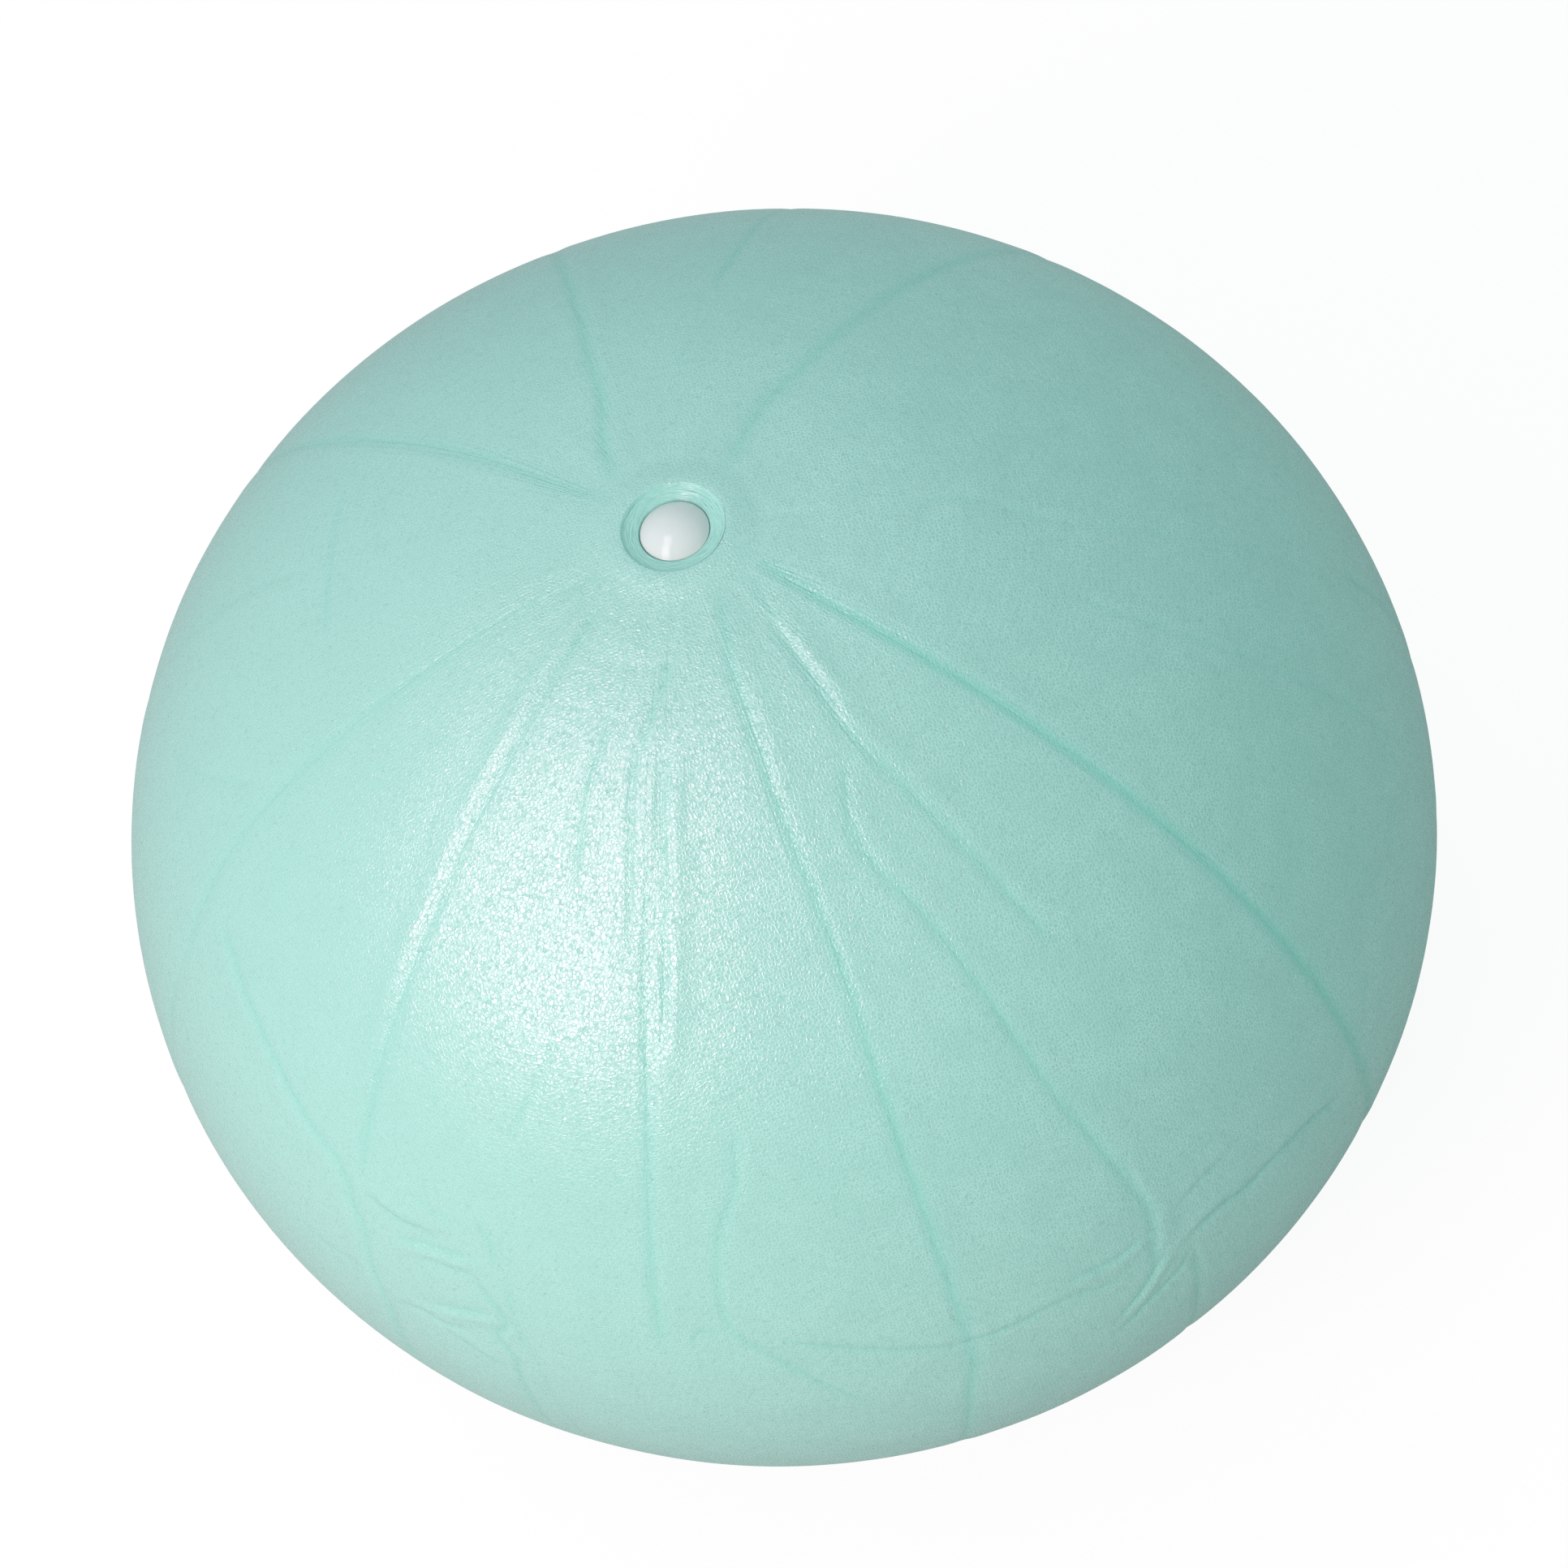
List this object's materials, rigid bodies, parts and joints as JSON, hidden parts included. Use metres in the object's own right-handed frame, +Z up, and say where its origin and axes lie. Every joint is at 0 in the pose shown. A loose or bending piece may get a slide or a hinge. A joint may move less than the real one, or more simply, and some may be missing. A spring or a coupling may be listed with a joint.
{
  "type": "pilates ball",
  "caption": "Small soft inflatable exercise ball with a grained skin, a recessed air valve at its crown and a push-in plug that pulls out for inflating.",
  "frame": {"origin": "middle of the flat foot that the ball rests on", "axes": "+Z up through the valve at the crown, +Y away from the viewer of the picture, +X to the right"},
  "size_m": [0.25, 0.25, 0.2104],
  "materials": {
    "skin": "satin",
    "valve": "gloss",
    "plug": "gloss"
  },
  "bodies": {
    "ball": {"ball_shell": "skin", "valve_seat": "valve"},
    "plug": {"plug": "plug"}
  },
  "joints": [
    {"name": "plug_pull", "type": "slide", "parent": "ball", "child": "plug", "axis": [0, 0, 1], "range_m": [0, 0.03]}
  ]
}
